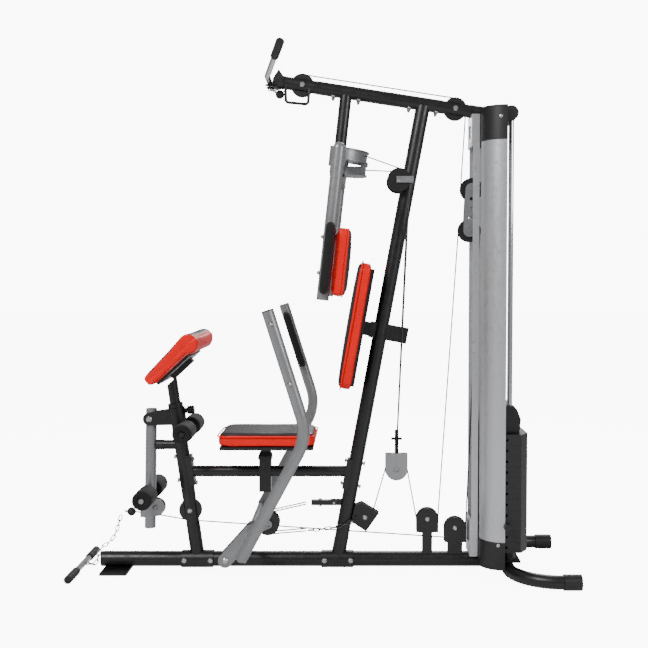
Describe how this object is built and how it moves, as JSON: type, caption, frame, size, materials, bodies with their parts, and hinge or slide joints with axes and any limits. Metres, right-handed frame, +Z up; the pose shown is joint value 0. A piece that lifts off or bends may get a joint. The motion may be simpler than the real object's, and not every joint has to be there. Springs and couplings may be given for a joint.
{
  "type": "multi station home gym",
  "caption": "Free-standing home gym with lat pulldown, pec arms, press arms, leg lever, curl pad and a selectorised weight stack.",
  "frame": {"origin": "on the floor, below the middle of the machine's length and on its centre plane", "axes": "+Z up, +X towards the weight tower, -X towards the leg station, Y across the machine"},
  "size_m": [1.868, 1.003, 1.9305],
  "materials": {
    "black_steel": "satin black powder coat",
    "cable_black": "black coated cable",
    "chain_steel": "zinc chain",
    "chrome_rod": "polished",
    "foam": "matte black foam",
    "knob_plastic": "moulded black",
    "plastic": "moulded black",
    "plate_black": "matte black",
    "pulley_nylon": "moulded black",
    "red_vinyl": "red and black vinyl",
    "silver_paint": "silver metallic paint",
    "silver_sheet": "satin silver sheet",
    "zinc": "bright zinc"
  },
  "bodies": {
    "frame": {"base_tube": "black_steel", "rear_stabiliser": "black_steel", "end_caps": "plastic", "front_post": "black_steel", "main_post": "black_steel", "seat_beam": "black_steel", "top_beam": "black_steel", "pec_hanger": "black_steel", "column_rails": "black_steel", "side_shrouds": "silver_sheet", "guide_rods": "chrome_rod", "resting_plates": "plate_black", "pulley_brackets": "silver_paint", "swivel_housing": "silver_paint", "lat_cradle": "black_steel", "lever_bracket": "black_steel", "frame_bolts": "zinc", "low_cable": "cable_black", "lat_cable": "cable_black", "pec_cables": "cable_black", "press_cables": "cable_black"},
    "seat": {"seat_frame": "black_steel", "seat_pad": "red_vinyl"},
    "curl_station": {"curl_frame": "black_steel", "curl_pad": "red_vinyl"},
    "adjuster_knob": {"curl_knob": "knob_plastic"},
    "backrest": {"backrest_frame": "black_steel", "backrest_pad": "red_vinyl"},
    "lever": {"leg_lever": "silver_paint"},
    "ankle_foam": {"ankle_rollers": "foam"},
    "thigh_foam": {"thigh_rollers": "foam"},
    "press": {"press_yoke": "silver_paint", "press_arms": "silver_paint", "press_grips": "foam"},
    "pec_near_arm": {"pec_arm_near": "silver_paint", "pec_grip_near": "foam", "pec_pad_near": "red_vinyl"},
    "pec_far_arm": {"pec_arm_far": "silver_paint", "pec_grip_far": "foam", "pec_pad_far": "red_vinyl"},
    "stack": {"weight_head": "plate_black", "lifted_plates": "plate_black"},
    "pin": {"selector_pin": "plastic"},
    "floater": {"float_block": "silver_paint"},
    "hanger": {"hanging_block": "silver_paint"},
    "lat_handle": {"lat_bar": "chrome_rod"},
    "curl_handle": {"curl_bar": "chrome_rod", "low_chain": "chain_steel"},
    "wheel_top_front": {"top_front_pulley": "pulley_nylon"},
    "wheel_top_rear": {"top_rear_pulley": "pulley_nylon"},
    "wheel_column_top": {"column_top_pulley": "pulley_nylon"},
    "wheel_tower_inner": {"tower_inner_pulley": "pulley_nylon"},
    "wheel_tower_outer": {"tower_outer_pulley": "pulley_nylon"},
    "wheel_front_post": {"front_post_pulley": "pulley_nylon"},
    "wheel_lever": {"lever_pulley": "pulley_nylon"},
    "wheel_press": {"press_pulleys": "pulley_nylon"},
    "wheel_pec_guide": {"pec_guide_pulleys": "pulley_nylon"},
    "wheel_float_upper": {"float_upper_pulley": "pulley_nylon"},
    "wheel_float_lower": {"float_lower_pulley": "pulley_nylon"},
    "wheel_hanging": {"hanging_pulley": "pulley_nylon"}
  },
  "joints": [
    {"name": "seat_height", "type": "slide", "parent": "frame", "child": "seat", "axis": [0, 0, 1], "range_m": [-0.016, 0.08]},
    {"name": "curl_height", "type": "slide", "parent": "frame", "child": "curl_station", "axis": [-0.1389, 0, 0.9903], "range_m": [-0.03, 0.06]},
    {"name": "knob_pull", "type": "slide", "parent": "frame", "child": "adjuster_knob", "axis": [0.9903, 0, 0.1389], "range_m": [0, 0.01]},
    {"name": "backrest_slide", "type": "slide", "parent": "frame", "child": "backrest", "axis": [-0.9829, 0, 0.1843], "range_m": [0, 0.06]},
    {"name": "lever_swing", "type": "hinge", "parent": "frame", "child": "lever", "pos_m": [-0.6543, 0, 0.5788], "axis": [0, 1, 0], "range_deg": [0, 80], "deforming": ["low_cable", "low_chain"]},
    {"name": "ankle_spin", "type": "hinge", "parent": "lever", "child": "ankle_foam", "pos_m": [-0.6565, 0, 0.296], "axis": [0, 1, 0], "continuous": true},
    {"name": "thigh_spin", "type": "hinge", "parent": "frame", "child": "thigh_foam", "pos_m": [-0.507, 0, 0.5415], "axis": [0, 1, 0], "continuous": true},
    {"name": "press_swing", "type": "hinge", "parent": "frame", "child": "press", "pos_m": [-0.368, 0, 0.037], "axis": [0, -1, 0], "range_deg": [0, 25], "deforming": ["press_cables"]},
    {"name": "pec_near", "type": "hinge", "parent": "frame", "child": "pec_near_arm", "pos_m": [0.0652, 0, 1.55], "axis": [-0.1106, 0, -0.9939], "range_deg": [0, 70], "deforming": ["pec_cables"]},
    {"name": "pec_far", "type": "hinge", "parent": "frame", "child": "pec_far_arm", "pos_m": [0.0652, 0, 1.55], "axis": [0.1106, 0, 0.9939], "range_deg": [0, 70], "deforming": ["pec_cables"]},
    {"name": "stack_lift", "type": "slide", "parent": "frame", "child": "stack", "axis": [0, 0, 1], "range_m": [0, 0.8], "deforming": ["lat_cable", "low_cable"]},
    {"name": "pin_pull", "type": "slide", "parent": "stack", "child": "pin", "axis": [0, -1, 0], "range_m": [0, 0.165]},
    {"name": "float_drop", "type": "slide", "parent": "frame", "child": "floater", "axis": [0, 0, -1], "range_m": [0, 0.4], "deforming": ["lat_cable", "low_cable"]},
    {"name": "hanging_lift", "type": "slide", "parent": "frame", "child": "hanger", "axis": [0, 0, 1], "range_m": [0, 0.157], "deforming": ["pec_cables", "low_cable"]},
    {"name": "lat_bar_lift", "type": "slide", "parent": "frame", "child": "lat_handle", "axis": [-0.96, 0, 0.28], "range_m": [0, 0.25], "deforming": ["lat_cable"]},
    {"name": "curl_bar_lift", "type": "slide", "parent": "frame", "child": "curl_handle", "axis": [0, 0, 1], "range_m": [0, 0.3], "deforming": ["low_chain"]},
    {"name": "top_front_turn", "type": "hinge", "parent": "frame", "child": "wheel_top_front", "pos_m": [-0.0705, 0, 1.83722], "axis": [0, 1, 0], "continuous": true},
    {"name": "top_rear_turn", "type": "hinge", "parent": "frame", "child": "wheel_top_rear", "pos_m": [0.5038, 0, 1.74907], "axis": [0, 1, 0], "continuous": true},
    {"name": "column_top_turn", "type": "hinge", "parent": "frame", "child": "wheel_column_top", "pos_m": [0.6584, 0, 1.64], "axis": [0, 1, 0], "continuous": true},
    {"name": "tower_inner_turn", "type": "hinge", "parent": "frame", "child": "wheel_tower_inner", "pos_m": [0.404, 0, 0.1923], "axis": [0, 1, 0], "continuous": true},
    {"name": "tower_outer_turn", "type": "hinge", "parent": "frame", "child": "wheel_tower_outer", "pos_m": [0.5105, 0, 0.158], "axis": [0, 1, 0], "continuous": true},
    {"name": "front_post_turn", "type": "hinge", "parent": "frame", "child": "wheel_front_post", "pos_m": [-0.5029, 0, 0.2267], "axis": [0, 1, 0], "continuous": true},
    {"name": "lever_turn", "type": "hinge", "parent": "lever", "child": "wheel_lever", "pos_m": [-0.634, 0, 0.238], "axis": [0, 1, 0], "continuous": true},
    {"name": "press_turn", "type": "hinge", "parent": "press", "child": "wheel_press", "pos_m": [-0.2046, 0, 0.177], "axis": [0, 1, 0], "continuous": true},
    {"name": "pec_guide_turn", "type": "hinge", "parent": "frame", "child": "wheel_pec_guide", "pos_m": [0.291, 0, 1.48], "axis": [0, 1, 0], "continuous": true},
    {"name": "float_upper_turn", "type": "hinge", "parent": "floater", "child": "wheel_float_upper", "pos_m": [0.5665, 0, 1.4473], "axis": [0, 1, 0], "continuous": true},
    {"name": "float_lower_turn", "type": "hinge", "parent": "floater", "child": "wheel_float_lower", "pos_m": [0.559, 0, 1.2924], "axis": [0, 1, 0], "continuous": true},
    {"name": "hanging_turn", "type": "hinge", "parent": "hanger", "child": "wheel_hanging", "pos_m": [0.2854, 0, 0.3844], "axis": [0, 1, 0], "continuous": true}
  ],
  "couplings": [
    {"joint": "float_drop", "follows": "stack_lift", "ratio": 0.5},
    {"joint": "pec_far", "follows": "pec_near", "ratio": 1},
    {"joint": "hanging_lift", "follows": "pec_near", "m_per_rad": 0.112}
  ]
}
